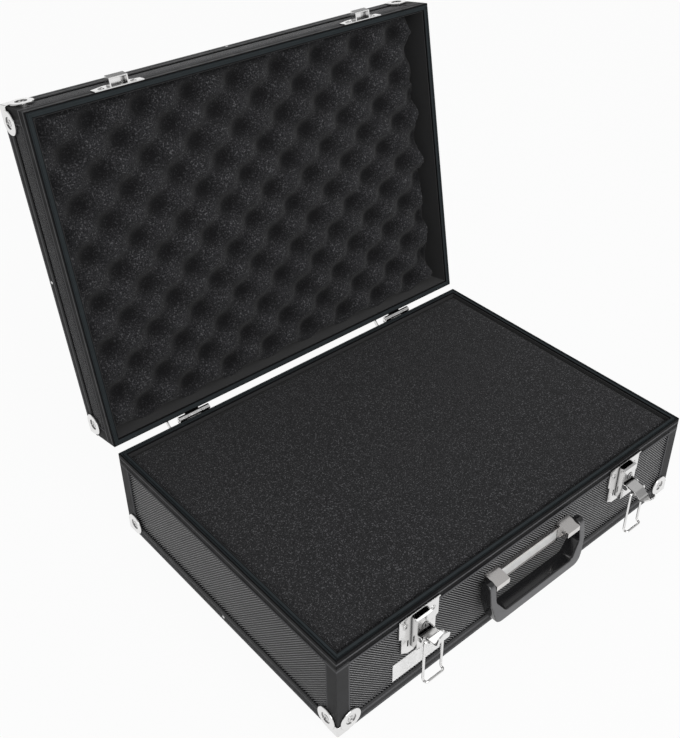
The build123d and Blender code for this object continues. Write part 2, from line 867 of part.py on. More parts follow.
def build_lid():
    """Pieces of the lid are drawn closed and then turned open."""

    def place(shape):
        flipped = mirror(shape, Plane.XY)
        return Pos(0, 0, lid_top - cap_proud) * flipped

    catch_work = [(p, inward_front, plate + inner) for p in catch_rivets]
    work = catch_work + [(p, inward_back, sheet + core) for p in hinge_lid_rivets]
    holes = [hole(p, way, grip + 1) for p, way, grip in work]
    rivets = shell_pieces("lid", lid_shell, True, place, holes)
    rivets += [rivet(p, way, grip) for p, way, grip in work]
    parts["lid_rivets"] = Compound(children=[one_solid(r) for r in rivets])
    rooms = [tail_room(p, way, grip) for p, way, grip in catch_work]
    parts["lid_lining"] = cut(place(lining_sleeve(lid_shell)), rooms)
    foam_top = lid_shell - lid_foam_recess
    foam = foam_block(lining_face, foam_top)
    parts["lid_foam"] = place(one_solid(foam - egg_crate_hollows(foam_top)))
    for name, side in (("left", -1), ("right", 1)):
        move = Pos(side * latch_x, 0, 0)
        parts[f"lid_catch_{name}"] = cut(move * lid_catch(), holes)
        move = Pos(side * hinge_x, 0, 0)
        leaf = hinge_leaf(True) + hinge_ear()
        parts[f"hinge_lid_leaf_{name}"] = cut(move * leaf, holes)
    for name in list(parts):
        if name.startswith("lid_") or name.startswith("hinge_lid"):
            parts[name] = open_lid(parts[name])


def build_moving():
    for name, side, angle in (
        ("left", -1, lever_open_angle_left),
        ("right", 1, lever_open_angle_right),
    ):
        move = Pos(side * latch_x, 0, 0)
        parts[f"latch_lever_{name}"] = move * lever(angle)
        parts[f"latch_bail_{name}"] = move * bail(angle)
    parts["handle_grip"] = handle_grip()


build_base()
build_lid()
build_moving()

os.makedirs("parts", exist_ok=True)
for node, shape in parts.items():
    export_step(shape, f"parts/{node}.step")
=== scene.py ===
import json
from math import cos, pi, radians, sin

import bmesh
import bpy
from bpy.props import FloatProperty, FloatVectorProperty, PointerProperty
from mathutils import Matrix, Vector, noise

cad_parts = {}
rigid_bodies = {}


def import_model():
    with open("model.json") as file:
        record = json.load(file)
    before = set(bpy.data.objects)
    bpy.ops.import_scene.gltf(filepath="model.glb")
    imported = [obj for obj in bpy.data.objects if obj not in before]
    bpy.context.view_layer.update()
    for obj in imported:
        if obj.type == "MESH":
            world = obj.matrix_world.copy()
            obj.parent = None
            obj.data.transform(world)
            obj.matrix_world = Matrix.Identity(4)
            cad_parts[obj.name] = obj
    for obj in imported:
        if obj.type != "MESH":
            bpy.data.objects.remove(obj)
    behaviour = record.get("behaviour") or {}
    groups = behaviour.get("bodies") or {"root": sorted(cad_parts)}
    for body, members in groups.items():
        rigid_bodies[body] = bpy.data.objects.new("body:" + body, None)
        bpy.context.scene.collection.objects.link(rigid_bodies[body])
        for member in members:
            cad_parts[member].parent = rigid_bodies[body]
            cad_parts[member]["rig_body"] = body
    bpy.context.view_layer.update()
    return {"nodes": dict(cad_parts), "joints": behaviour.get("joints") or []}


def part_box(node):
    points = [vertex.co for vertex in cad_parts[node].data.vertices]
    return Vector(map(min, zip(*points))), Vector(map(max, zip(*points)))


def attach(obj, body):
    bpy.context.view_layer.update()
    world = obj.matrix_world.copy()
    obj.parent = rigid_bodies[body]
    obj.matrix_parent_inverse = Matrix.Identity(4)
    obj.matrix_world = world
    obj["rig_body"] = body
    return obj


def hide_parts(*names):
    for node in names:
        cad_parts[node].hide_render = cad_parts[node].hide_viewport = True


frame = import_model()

bl_info = {
    "name": "Camera Case",
    "version": (1, 0, 0),
    "blender": (4, 5, 0),
    "location": "View3D > Sidebar > Camera Case",
    "description": "Dresses the open camera case: ribbed boards, foam, nickel hardware and handle",
    "category": "Object",
}

mm = 0.001
weld_distance = 0.01 * mm

# Places read from the frame

lid_joint = next(j for j in frame["joints"] if j["name"] == "lid_hinge")
lid_axis = Vector(lid_joint["pos_m"])
lid_opening = radians(-lid_joint["range_deg"][1])
open_lid = (
    Matrix.Translation(lid_axis)
    @ Matrix.Rotation(lid_opening, 4, "X")
    @ Matrix.Translation(-lid_axis)
)
body_of_node = {n: o["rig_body"] for n, o in frame["nodes"].items()}
half_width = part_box("base_rim_front")[1].x
half_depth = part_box("base_rim_left")[1].y


def closed_box(node):
    """A lid node's lowest and highest corner with the lid closed."""
    back = open_lid.inverted()
    points = [back @ v.co for v in frame["nodes"][node].data.vertices]
    low = Vector([min(p[k] for p in points) for k in range(3)])
    high = Vector([max(p[k] for p in points) for k in range(3)])
    return low, high


rim_height = {
    "base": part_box("base_rim_left")[1].z,
    "lid": closed_box("lid_rim_left")[0].z,
}
outer_height = {
    "base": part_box("base_edge_left")[0].z,
    "lid": closed_box("lid_edge_left")[1].z,
}


# Sizes and colours that a user would change


def length(name, description, default):
    return FloatProperty(
        name=name, description=description, default=default, unit="LENGTH", precision=5
    )


def power(name, description, default):
    return FloatProperty(name=name, description=description, default=default, unit="POWER")


def share(name, description, default):
    return FloatProperty(
        name=name, description=description, default=default, min=0, max=1, subtype="FACTOR"
    )


def colour(name, description, default):
    return FloatVectorProperty(
        name=name, description=description, default=default, min=0, max=1, size=3, subtype="COLOR"
    )


class RibbedBoardSettings(bpy.types.PropertyGroup):
    """Ribbed boards of base and lid"""

    pitch: length("Rib pitch", "Distance from rib to rib, measured across the ribs", 0.0021)
    depth: length("Rib depth", "Depth of the grooves between the ribs", 0.0006)
    skin: colour("Skin", "Colour of the ribs", (0.32, 0.32, 0.326))
    # Painted shade: the grooves are painted nearly black, standing in for the shade between the
    # ribs.
    groove: colour("Groove", "Colour in the grooves, which are dark", (0.004, 0.004, 0.0045))
    roughness: share("Roughness", "Roughness of the ribbed skin", 0.4)


class ProfileSettings(bpy.types.PropertyGroup):
    """Rim profiles, edge profiles and corner posts"""

    coating: colour("Coating", "Colour of the black coated profiles", (0.0075, 0.0075, 0.008))
    frame: colour("Frame", "Colour of the base's posts and edge profiles", (0.042, 0.042, 0.043))
    # Painted shade: the lid's posts and edge profiles are painted darker than the same profiles on
    # the base.
    lid_frame_shade: share("Lid tone", "Lightness of the lid's frame beside the base's", 0.3)
    # Painted highlight: lighter bands that stand in for the light caught by the profiles' beads,
    # lips and edges.
    line: colour("Line", "Colour of the brighter drawn bands", (0.11, 0.11, 0.115))
    seat: colour("Seat", "Colour of the rims' flat faces, which meet", (0.03, 0.036, 0.039))
    roughness: share("Roughness", "Roughness of the coating", 0.42)
    edge: length("Edge radius", "Rounding of the profiles' edges", 0.0004)
    sheet: length("Sheet", "Thickness of the profiles' outer sheet", 0.0012)
    lip: length("Lip", "Height of the rim profiles' lower lip", 0.005)
    rivet: length("Rivet", "Radius of the small rivets in the edge profiles", 0.0017)
    rivet_height: length("Rivet height", "From the outer face to the small rivets", 0.0055)


class FoamSettings(bpy.types.PropertyGroup):
    """Foam in base and lid, with the rows of hollows in the lid's"""

    lid_foam: colour("Lid foam", "Colour of the egg-crate foam", (0.018, 0.018, 0.0195))
    base_foam: colour("Base foam", "Colour of the foam in the base", (0.015, 0.015, 0.016))
    speck: colour("Speck", "Colour of the light specks of the open cells", (0.11, 0.11, 0.116))
    column: length("Column pitch", "Distance between hollows along a row", 0.0514)
    row: length("Row pitch", "Distance from one row of hollows to the next", 0.0236)
    first_column: length("First column", "From the left wall to the first hollow", 0.034)
    first_row: length("First row", "From the front wall to the first row of hollows", 0.0234)
    lean: length("Lean", "Shift of each row of hollows against the one before", 0.00096)
    hollow: length("Hollow depth", "Height from the hollows to the peaks", 0.014)


class MetalSettings(bpy.types.PropertyGroup):
    """Plated hardware"""

    nickel: colour("Nickel", "Colour of the nickel plating", (0.78, 0.775, 0.77))
    roughness: share("Roughness", "Roughness of the plating", 0.13)
    edge: length("Edge radius", "Rounding of the pressed sheet's edges", 0.00035)


class HandleSettings(bpy.types.PropertyGroup):
    """Grip, and the patterned strip behind it"""

    plastic: colour("Plastic", "Colour of the moulded grip", (0.012, 0.012, 0.013))
    face: colour("Front face", "Colour of the grip's matt front face", (0.11, 0.11, 0.114))
    roughness: share("Roughness", "Roughness of the moulded grip", 0.18)
    strip_width: length("Strip width", "Width of the patterned strip between the end caps", 0.0812)
    strip_height: length("Strip height", "Height of the strip between its flanges", 0.0138)
    strip_depth: length("Strip depth", "From the board to the face of the patterned strip", 0.0031)
    strip_foot: length("Strip foot", "Height of the patterned strip's lower edge", 0.0548)


class StageSettings(bpy.types.PropertyGroup):
    """Floor and lamps"""

    floor: colour("Floor", "Colour of the floor", (0.6, 0.6, 0.6))
    key: power("Key light", "Power of the large lamp in front", 32.0)
    fill: power("Fill light", "Power of the lamp on the left", 0.35)
    rim: power("Rim light", "Power of the lamp behind", 3.5)


class CameraCaseSettings(bpy.types.PropertyGroup):
    """All settings of the case"""

    boards: PointerProperty(type=RibbedBoardSettings)
    profiles: PointerProperty(type=ProfileSettings)
    foam: PointerProperty(type=FoamSettings)
    metal: PointerProperty(type=MetalSettings)
    handle: PointerProperty(type=HandleSettings)
    stage: PointerProperty(type=StageSettings)


# Materials


def add_node(tree, kind, inputs=None, **settings):
    """One shader node. An input is a plain value or the output socket that feeds it."""
    made = tree.nodes.new(kind)
    for key, value in settings.items():
        setattr(made, key, value)
    for key, value in (inputs or {}).items():
        if isinstance(value, bpy.types.NodeSocket):
            tree.links.new(value, made.inputs[key])
        else:
            made.inputs[key].default_value = value
    return made


def start_material(name, inputs):
    """A material, its node tree, its surface shader and the object's own coordinates in mm."""
    material = bpy.data.materials.new(name)
    material.use_nodes = True
    tree = material.node_tree
    shader = tree.nodes["Principled BSDF"]
    for key, value in inputs.items():
        shader.inputs[key].default_value = value
    place = add_node(tree, "ShaderNodeTexCoord")
    per_metre = 1000
    scaled = add_node(
        tree,
        "ShaderNodeVectorMath",
        {0: place.outputs["Object"], 1: (per_metre,) * 3},
        operation="MULTIPLY",
    )
    return material, tree, shader, scaled.outputs["Vector"]


def rgba(value):
    return (*value, 1.0)


def darker(value, factor):
    return rgba([v * factor for v in value])


def noise_at(tree, where, size, detail=2.0, roughness=0.5):
    """Noise whose patches are about size mm across."""
    found = add_node(
        tree,
        "ShaderNodeTexNoise",
        {"Vector": where, "Scale": 1 / size, "Detail": detail, "Roughness": roughness},
    )
    return found.outputs["Fac"]


def spread(tree, value, low, high, to_low=0.0, to_high=1.0):
    """The value's range from low to high, stretched to the range from to_low to to_high."""
    found = add_node(
        tree,
        "ShaderNodeMapRange",
        {"Value": value, "From Min": low, "From Max": high, "To Min": to_low, "To Max": to_high},
    )
    return found.outputs["Result"]


def mix_colours(tree, factor, first, second):
    """A blend of two colours; the sockets are the mix node's own for colours."""
    factor_socket, first_socket, second_socket, result_socket = 0, 6, 7, 2
    inputs = {factor_socket: factor, first_socket: first, second_socket: second}
    return add_node(tree, "ShaderNodeMix", inputs, data_type="RGBA").outputs[result_socket]


def calculate(tree, operation, first, second=0.0):
    """One math node. A value is a plain number or a socket."""
    made = add_node(tree, "ShaderNodeMath", {0: first, 1: second}, operation=operation)
    return made.outputs["Value"]


def band(tree, value, edges, blur=0.4):
    """1 where the value lies between the two edges, and 0 elsewhere."""
    low, high = edges
    rise = spread(tree, value, low - blur, low + blur)
    fall = spread(tree, value, high - blur, high + blur, 1.0, 0.0)
    return calculate(tree, "MULTIPLY", rise, fall)


def bump(tree, shader, height, strength, distance):
    """Small relief in the shading, distance mm deep."""
    made = add_node(
        tree, "ShaderNodeBump", {"Height": height, "Strength": strength, "Distance": distance * mm}
    )
    tree.links.new(made.outputs["Normal"], shader.inputs["Normal"])


def uneven_roughness(tree, shader, value, roughness, less, more):
    """Roughness that follows a noise value, from less to more beside the given one."""
    rough = spread(tree, value, 0.3, 0.7, roughness + less, roughness + more)
    tree.links.new(rough, shader.inputs["Roughness"])


def ribbed_skin(settings):
    """Embossed plastic skin of the boards, a little cloudy, with a fine grain, and painted shade
    in the grooves.
    """
    crest_share = 0.34
    cloud_size, grain_size = 40, 0.5
    material, tree, shader, where = start_material("ribbed_skin", {"Specular IOR Level": 0.18})
    clouds = noise_at(tree, where, cloud_size, 3)
    crest = mix_colours(tree, clouds, darker(settings.skin, 0.8), darker(settings.skin, 1.25))
    # Painted shade: the deeper a point lies in its groove, the nearer its colour comes to the dark
    # groove colour.
    groove = add_node(tree, "ShaderNodeAttribute", attribute_name="groove").outputs["Fac"]
    skin = mix_colours(tree, spread(tree, groove, 0.0, crest_share), crest, rgba(settings.groove))
    tree.links.new(skin, shader.inputs["Base Color"])
    grain = noise_at(tree, where, grain_size, 2)
    uneven_roughness(tree, shader, grain, settings.roughness, -0.06, 0.08)
    bump(tree, shader, grain, 0.25, 0.08)
    return material


def closed_place(tree, where, half):
    """Coordinates in mm that a point has with the lid closed: X, Y and Z."""
    if half == "lid":
        turn = Matrix.Rotation(-lid_opening, 3, "X")
        shift = (lid_axis - turn @ lid_axis) / mm
        inputs = {"Vector": where, "Rotation": (-lid_opening, 0, 0), "Location": shift}
        where = add_node(tree, "ShaderNodeMapping", inputs).outputs["Vector"]
    parts = add_node(tree, "ShaderNodeSeparateXYZ", {"Vector": where}).outputs
    return parts["X"], parts["Y"], parts["Z"]


def distance_from(tree, value, place):
    """How far the value is from the given place, either way."""
    return calculate(tree, "ABSOLUTE", calculate(tree, "SUBTRACT", value, place))


# Where the painted highlight bands lie on the profiles, in mm
rim_bands = ((3.8, 5.6), (12.4, 14.6))  # down from the rim
foot_bands = ((7.6, 10.4), (0.6, 3.0))  # in from the outer face
post_band = (12.6, 14.6)  # from the corner
seat_band = (1.3, 5.6)  # in from the outside
rim_reach = 16.0  # below this the post and foot bands start


def coated_profile(name, settings, half, base_colour):
    """Black coated aluminium, with painted highlight bands that run along the profiles."""
    mark_size, grain_size = 12, 0.35
    material, tree, shader, where = start_material(name, {"Specular IOR Level": 0.03})
    x, y, z = closed_place(tree, where, half)
    from_side = calculate(tree, "SUBTRACT", half_width / mm, calculate(tree, "ABSOLUTE", x))
    from_front = calculate(tree, "SUBTRACT", half_depth / mm, calculate(tree, "ABSOLUTE", y))
    inward = calculate(tree, "MINIMUM", from_side, from_front)
    corner = calculate(tree, "MAXIMUM", from_side, from_front)
    drop = distance_from(tree, z, rim_height[half] / mm)
    rise = distance_from(tree, z, outer_height[half] / mm)
    # Painted highlight: bands below the rim, on the foot and beside the corners are painted
    # lighter, for light on beads and lips.
    upper, lower = (band(tree, drop, edges, 0.3) for edges in rim_bands)
    near_rim = calculate(tree, "MAXIMUM", upper, lower)
    first, second = (band(tree, rise, edges) for edges in foot_bands)
    foot = calculate(tree, "MAXIMUM", first, second)
    post = band(tree, corner, post_band, 0.3)
    middle = calculate(tree, "GREATER_THAN", drop, rim_reach)
    below = calculate(tree, "MULTIPLY", calculate(tree, "MAXIMUM", foot, post), middle)
    highlight_lines = calculate(tree, "MAXIMUM", near_rim, below)
    marks = noise_at(tree, where, mark_size, 4, 0.6)
    coating = mix_colours(tree, marks, darker(base_colour, 0.75), darker(base_colour, 1.4))
    highlight = mix_colours(tree, marks, darker(settings.line, 0.7), darker(settings.line, 1.15))
    tint = mix_colours(tree, highlight_lines, coating, highlight)
    seated = mix_colours(tree, marks, darker(settings.seat, 0.8), darker(settings.seat, 1.2))
    seat = band(tree, inward, seat_band, 0.2)
    tree.links.new(mix_colours(tree, seat, tint, seated), shader.inputs["Base Color"])
    uneven_roughness(tree, shader, marks, settings.roughness, -0.06, 0.1)
    grain = noise_at(tree, where, grain_size, 2)
    bump(tree, shader, calculate(tree, "ADD", grain, highlight_lines), 0.3, 0.12)
    return material


def open_foam(name, base, speck, cell):
    """Open-cell foam: light and dark cells, bright specks, and painted shade where it is hollow.
    """
    surface = {
        "Roughness": 1.0,
        "Specular IOR Level": 0.1,
        "Sheen Weight": 0.06,
        "Sheen Roughness": 0.6,
    }
    patch_size, mottle_share = 45, 0.7
    material, tree, shader, where = start_material(name, surface)
    cells = noise_at(tree, where, cell, 2, 0.75)
    patches = noise_at(tree, where, patch_size, 2)
    ground = mix_colours(tree, patches, darker(base, 0.8), darker(base, 1.2))
    fine = spread(tree, cells, 0.36, 0.64)
    mottled = mix_colours(tree, fine, darker(base, 0.2), darker(base, 2.6))
    mottled = mix_colours(tree, mottle_share, ground, mottled)
    points = spread(tree, noise_at(tree, where, cell * 1.3, 1, 0.5), 0.58, 0.7)
    speckled = mix_colours(tree, points, mottled, rgba(speck))
    # Painted shade: the deeper a point lies in a hollow, the darker the foam is painted.
    hollow = add_node(tree, "ShaderNodeAttribute", attribute_name="hollow").outputs["Fac"]
    depth = spread(tree, hollow, 0.1, 0.8, 0.0, 0.8)
    shaded = mix_colours(tree, depth, speckled, darker(base, 0.3))
    tree.links.new(shaded, shader.inputs["Base Color"])
    bump(tree, shader, cells, 0.8, 0.5)
    return material


def lining_felt():
    """Thin grey-black fibre lining."""
    dark, light = (0.006, 0.006, 0.0065), (0.026, 0.026, 0.027)
    fibre_size = 0.8
    material, tree, shader, where = start_material(
        "lining_felt", {"Roughness": 0.85, "Sheen Weight": 0.15}
    )
    fibres = noise_at(tree, where, fibre_size, 4, 0.65)
    tint = mix_colours(tree, fibres, rgba(dark), rgba(light))
    tree.links.new(tint, shader.inputs["Base Color"])
    bump(tree, shader, fibres, 0.5, 0.2)
    return material


def plated(name, tint, roughness, wave=0.2, nook=4.0):
    """Bright plating over pressed sheet: slightly uneven gloss, with painted shade in nooks up to
    nook mm.
    """
    haze_size, mark_size, haze_share = 6, 0.5, 0.65
    material, tree, shader, where = start_material(name, {"Metallic": 1.0})
    haze = noise_at(tree, where, haze_size, 3)
    metal = mix_colours(tree, haze, darker(tint, 0.92), darker(tint, 1.05))
    # Painted shade: where the AO node finds other surfaces near, the plating is painted nearly
    # black.
    nooks = add_node(tree, "ShaderNodeAmbientOcclusion", {"Distance": nook * mm}, samples=8)
    unshaded_share = spread(tree, nooks.outputs["AO"], 0.35, 0.9)
    metal = mix_colours(tree, unshaded_share, darker(tint, 0.06), metal)
    tree.links.new(metal, shader.inputs["Base Color"])
    fine = calculate(tree, "MULTIPLY", noise_at(tree, where, mark_size, 2), 1 - haze_share)
    uneven = calculate(tree, "ADD", fine, calculate(tree, "MULTIPLY", haze, haze_share))
    rough = spread(tree, uneven, 0.35, 0.65, max(roughness - 0.05, 0.03), roughness + 0.07)
    tree.links.new(rough, shader.inputs["Roughness"])
    bump(tree, shader, noise_at(tree, where, haze_size, 1), wave, 0.15)
    return material


def moulded_plastic(settings):
    """Glossy black moulded plastic with a faint orange-peel, and a matt front face."""
    peel_size, face_roughness = 2.5, 0.55
    material, tree, shader, where = start_material("moulded_plastic", {"Specular IOR Level": 0.7})
    peel = noise_at(tree, where, peel_size, 2)
    tint = mix_colours(tree, peel, darker(settings.plastic, 0.85), darker(settings.plastic, 1.2))
    face = mix_colours(tree, peel, darker(settings.face, 0.9), darker(settings.face, 1.1))
    normal = add_node(tree, "ShaderNodeTexCoord").outputs["Normal"]
    backward = add_node(tree, "ShaderNodeSeparateXYZ", {"Vector": normal}).outputs["Y"]
    front = spread(tree, backward, -0.95, -0.6, 1.0, 0.0)
    tree.links.new(mix_colours(tree, front, tint, face), shader.inputs["Base Color"])
    rough = spread(tree, front, 0.0, 1.0, settings.roughness, face_roughness)
    tree.links.new(rough, shader.inputs["Roughness"])
    bump(tree, shader, peel, 0.1, 0.1)
    return material


def sticker_paper():
    """Blank white label stock with a faint mottle under its gloss."""
    dark, light = (0.86, 0.86, 0.855), (0.92, 0.92, 0.915)
    mottle_size = 1.5
    material, tree, shader, where = start_material(
        "sticker_paper", {"Roughness": 0.35, "Coat Weight": 0.2, "Coat Roughness": 0.2}
    )
    mottle = noise_at(tree, where, mottle_size, 3)
    tint = mix_colours(tree, mottle, rgba(dark), rgba(light))
    tree.links.new(tint, shader.inputs["Base Color"])
    bump(tree, shader, mottle, 0.1, 0.05)
    return material


# Mesh helpers


def give_material(obj, material):
    """The piece's only material, in place of the frame's plain one."""
    obj.data.materials.clear()
    obj.data.materials.append(material)


def add_piece(name, mesh_builder, material, like_node, smooth=True):
    """A new object from a bmesh, riding on the body of a node of the frame, in its finish."""
    mesh = bpy.data.meshes.new(name)
    bmesh.ops.recalc_face_normals(mesh_builder, faces=mesh_builder.faces)
    mesh_builder.to_mesh(mesh)
    mesh_builder.free()
    mesh.polygons.foreach_set("use_smooth", [smooth] * len(mesh.polygons))
    obj = bpy.data.objects.new(name, mesh)
    bpy.context.scene.collection.objects.link(obj)
    mesh.materials.append(material)
    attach(obj, body_of_node[like_node])
    return obj


def soften(obj, width):
    """Round the edges of a piece of the frame, which keeps its own mesh."""
    flat_angle, edge_angle = radians(0.5), radians(35)
    weld = obj.modifiers.new("Weld", "WELD")
    weld.merge_threshold = weld_distance
    flat = obj.modifiers.new("Flat faces", "DECIMATE")
    flat.decimate_type = "DISSOLVE"
    flat.angle_limit = flat_angle
    bevel = obj.modifiers.new("Rounded edges", "BEVEL")
    bevel.width = width
    bevel.segments = 2
    bevel.limit_method = "ANGLE"
    bevel.angle_limit = edge_angle
    obj.data.polygons.foreach_set("use_smooth", [True] * len(obj.data.polygons))
    weighted = obj.modifiers.new("Flat shading", "WEIGHTED_NORMAL")
    weighted.weight = 100


def close_behind(solid, grid, behind):
    """Side walls from the rim of a grid of corners to one flat face behind it.

    behind gives the place behind a corner of the rim. The new corners are returned.
    """
    columns, rows = len(grid) - 1, len(grid[0]) - 1
    rim = [grid[i][0] for i in range(columns)] + grid[columns][:rows]
    rim += [grid[i][rows] for i in range(columns, 0, -1)] + grid[0][:0:-1]
    back = [solid.verts.new(behind(v.co)) for v in rim]
    for k in range(len(rim)):
        following = (k + 1) % len(rim)
        solid.faces.new((rim[k], rim[following], back[following], back[k]))
    solid.faces.new(back)
    return back


def nodes_named(*starts):
    """The frame's objects whose node names start with one of the given words."""
    return [o for n, o in frame["nodes"].items() if n.startswith(starts)]


# Ribbed boards


def ribbed_plate(width, height, thickness, pitch, depth, rising):
    """A board in the XZ plane whose face at y = 0 has diagonal ribs."""
    steps_per_rib = 8
    along_edge = pitch * 2**0.5
    step = along_edge / steps_per_rib
    marks = [i * step for i in range(int((width + height) / step) + 1)]
    marks = sorted(set(marks + [width, height, width + height]))
    plate = bmesh.new()
    # Each front corner stores how far down its groove it lies, for the painted shade in the
    # grooves.
    shade = plate.verts.layers.float.new("groove")
    rows = []
    for mark in marks:
        share_down = 0.5 - 0.5 * cos(2 * pi * mark / along_edge)
        groove = depth * share_down
        ends = []
        for x in (max(0.0, mark - height), min(width, mark)):
            z = mark - x
            if rising:
                z = height - z
            ends.append((x, z))
        front = [plate.verts.new((x, groove, z)) for x, z in ends]
        for v in front:
            v[shade] = share_down
        back = [plate.verts.new((x, thickness, z)) for x, z in ends]
        rows.append((front, back))
    for (front, back), (next_front, next_back) in zip(rows, rows[1:]):
        plate.faces.new((front[0], front[1], next_front[1], next_front[0]))
        plate.faces.new((back[0], next_back[0], next_back[1], back[1]))
        for end in (0, 1):
            plate.faces.new((front[end], next_front[end], next_back[end], back[end]))
    bmesh.ops.remove_doubles(plate, verts=plate.verts, dist=1e-7)
    return plate


def board_turn(side):
    """From a board drawn facing -Y to the side of the closed case that it is on."""
    return {
        "front": Matrix.Identity(4),
        "right": Matrix.Rotation(radians(90), 4, "Z"),
        "back": Matrix.Rotation(radians(180), 4, "Z"),
        "left": Matrix.Rotation(radians(-90), 4, "Z"),
        "top": Matrix.Rotation(radians(-90), 4, "X"),
        "bottom": Matrix.Rotation(radians(90), 4, "X"),
    }[side]


class CAMERACASE_OT_ribbed_boards(bpy.types.Operator):
    """Boards of base and lid with their diagonal ribbed skin"""

    bl_idname = "camera_case.ribbed_boards"
    bl_label = "Ribbed Boards"

    def execute(self, context):
        settings = context.scene.camera_case.boards
        skin = ribbed_skin(settings)
        for node in [n for n in frame["nodes"] if "_panel_" in n]:
            half, side = node.split("_panel_")
            low, high = closed_box(node) if half == "lid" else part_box(node)
            turn = board_turn(side)
            back = turn.inverted()
            corners = [back @ low, back @ high]
            start = Vector([min(c[k] for c in corners) for k in range(3)])
            size = Vector([max(c[k] for c in corners) for k in range(3)]) - start
            rising = side in ("left", "right")
            plate = ribbed_plate(size.x, size.z, size.y, settings.pitch, settings.depth, rising)
            move = turn @ Matrix.Translation(start)
            if half == "lid":
                move = open_lid @ move
            bmesh.ops.transform(plate, matrix=move, verts=plate.verts)
            board = add_piece(f"{half}_board_{side}", plate, skin, node, smooth=False)
            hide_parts(node)
        return {"FINISHED"}


class CAMERACASE_OT_profiles(bpy.types.Operator):
    """Black coated rim profiles, edge profiles and corner posts"""

    bl_idname = "camera_case.profiles"
    bl_label = "Profiles"

    def execute(self, context):
        settings = context.scene.camera_case.profiles
        for half in ("base", "lid"):
            coating = coated_profile(f"{half}_rim_coating", settings, half, settings.coating)
            # Painted shade: the lid's frame gets a darker copy of the base's frame colour.
            tone = 1.0 if half == "base" else settings.lid_frame_shade
            frame_tint = [v * tone for v in settings.frame]
            grey = coated_profile(f"{half}_frame_coating", settings, half, frame_tint)
            for obj in nodes_named(f"{half}_rim"):
                give_material(obj, coating)
                soften(obj, settings.edge)
            for obj in nodes_named(f"{half}_edge", f"{half}_corner_posts"):
                give_material(obj, grey)
                soften(obj, settings.edge)
        return {"FINISHED"}


def swept_bar(section, start, end, outward):
    """A straight bar with a flat section: points of (outward, height above the start)."""
    bar = bmesh.new()
    loops = []
    for place in (start, end):
        points = [place + outward * out + Vector((0, 0, up)) for out, up in section]
        loops.append([bar.verts.new(point) for point in points])
    for i in range(len(section)):
        j = (i + 1) % len(section)
        bar.faces.new((loops[0][i], loops[0][j], loops[1][j], loops[1][i]))
    bar.faces.new(loops[0][::-1])
    bar.faces.new(loops[1])
    return bar


def lip_section(sheet, lip):
    """The lip's section: a thin sheet with a shallow channel and a bead along its free edge."""
    chamfer_in, chamfer_down = 0.5 * mm, 0.7 * mm
    bead_foot, channel_end, channel_start = 1.9 * mm, 2.4 * mm, 0.6 * mm
    channel_depth = 0.4 * mm
    return [
        (0, 0),
        (-sheet, 0),
        (-sheet, lip),
        (-chamfer_in, lip),
        (0, lip - chamfer_down),
        (0, lip - bead_foot),
        (-channel_depth, lip - channel_end),
        (-channel_depth, channel_start),
    ]


def facing(side):
    """A side's direction outwards, the direction along it, and its half sizes both ways."""
    sign = -1 if side in ("front", "left") else 1
    if side in ("front", "back"):
        return Vector((0, sign, 0)), Vector((1, 0, 0)), half_depth, half_width
    return Vector((sign, 0, 0)), Vector((0, 1, 0)), half_width, half_depth


class CAMERACASE_OT_rim_lips(bpy.types.Operator):
    """The rim profiles' lower lips, which lie on the boards and end at the posts"""

    bl_idname = "camera_case.rim_lips"
    bl_label = "Rim Lips"

    def execute(self, context):
        settings = context.scene.camera_case.profiles
        post_width = 14 * mm
        for half in ("base", "lid"):
            coating = frame["nodes"][f"{half}_rim_front"].data.materials[0]
            down = -1 if half == "base" else 1
            section = [(out, down * up) for out, up in lip_section(settings.sheet, settings.lip)]
            for side in ("front", "right", "back", "left"):
                node = f"{half}_rim_{side}"
                low, high = closed_box(node) if half == "lid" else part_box(node)
                edge = low.z if half == "base" else high.z
                outward, along, face, reach = facing(side)
                middle = outward * face + Vector((0, 0, edge))
                end = along * (reach - post_width)
                bar = swept_bar(section, middle - end, middle + end, outward)
                if half == "lid":
                    bmesh.ops.transform(bar, matrix=open_lid, verts=bar.verts)
                add_piece(f"{half}_rim_lip_{side}", bar, coating, node, smooth=False)
        return {"FINISHED"}


def rivet_head(heads, centre, outward, radius, rise):
    """A low domed head on a face of the closed case."""
    turn = outward.to_track_quat("Z", "Y").to_matrix().to_4x4()
    rings, segments = 5, 20
    loops = []
    for i in range(rings):
        angle = pi / 2 * i / rings
        reach, height = radius * cos(angle), rise * sin(angle)
        loop = []
        for k in range(segments):
            around = 2 * pi * k / segments
            point = Vector((reach * cos(around), reach * sin(around), height))
            loop.append(heads.verts.new(centre + turn @ point))
        loops.append(loop)
    top = heads.verts.new(centre + turn @ Vector((0, 0, rise)))
    for lower, upper in zip(loops, loops[1:]):
        for k in range(segments):
            following = (k + 1) % segments
            heads.faces.new((lower[k], lower[following], upper[following], upper[k]))
    for k in range(segments):
        heads.faces.new((loops[-1][k], loops[-1][(k + 1) % segments], top))
    heads.faces.new(loops[0][::-1])


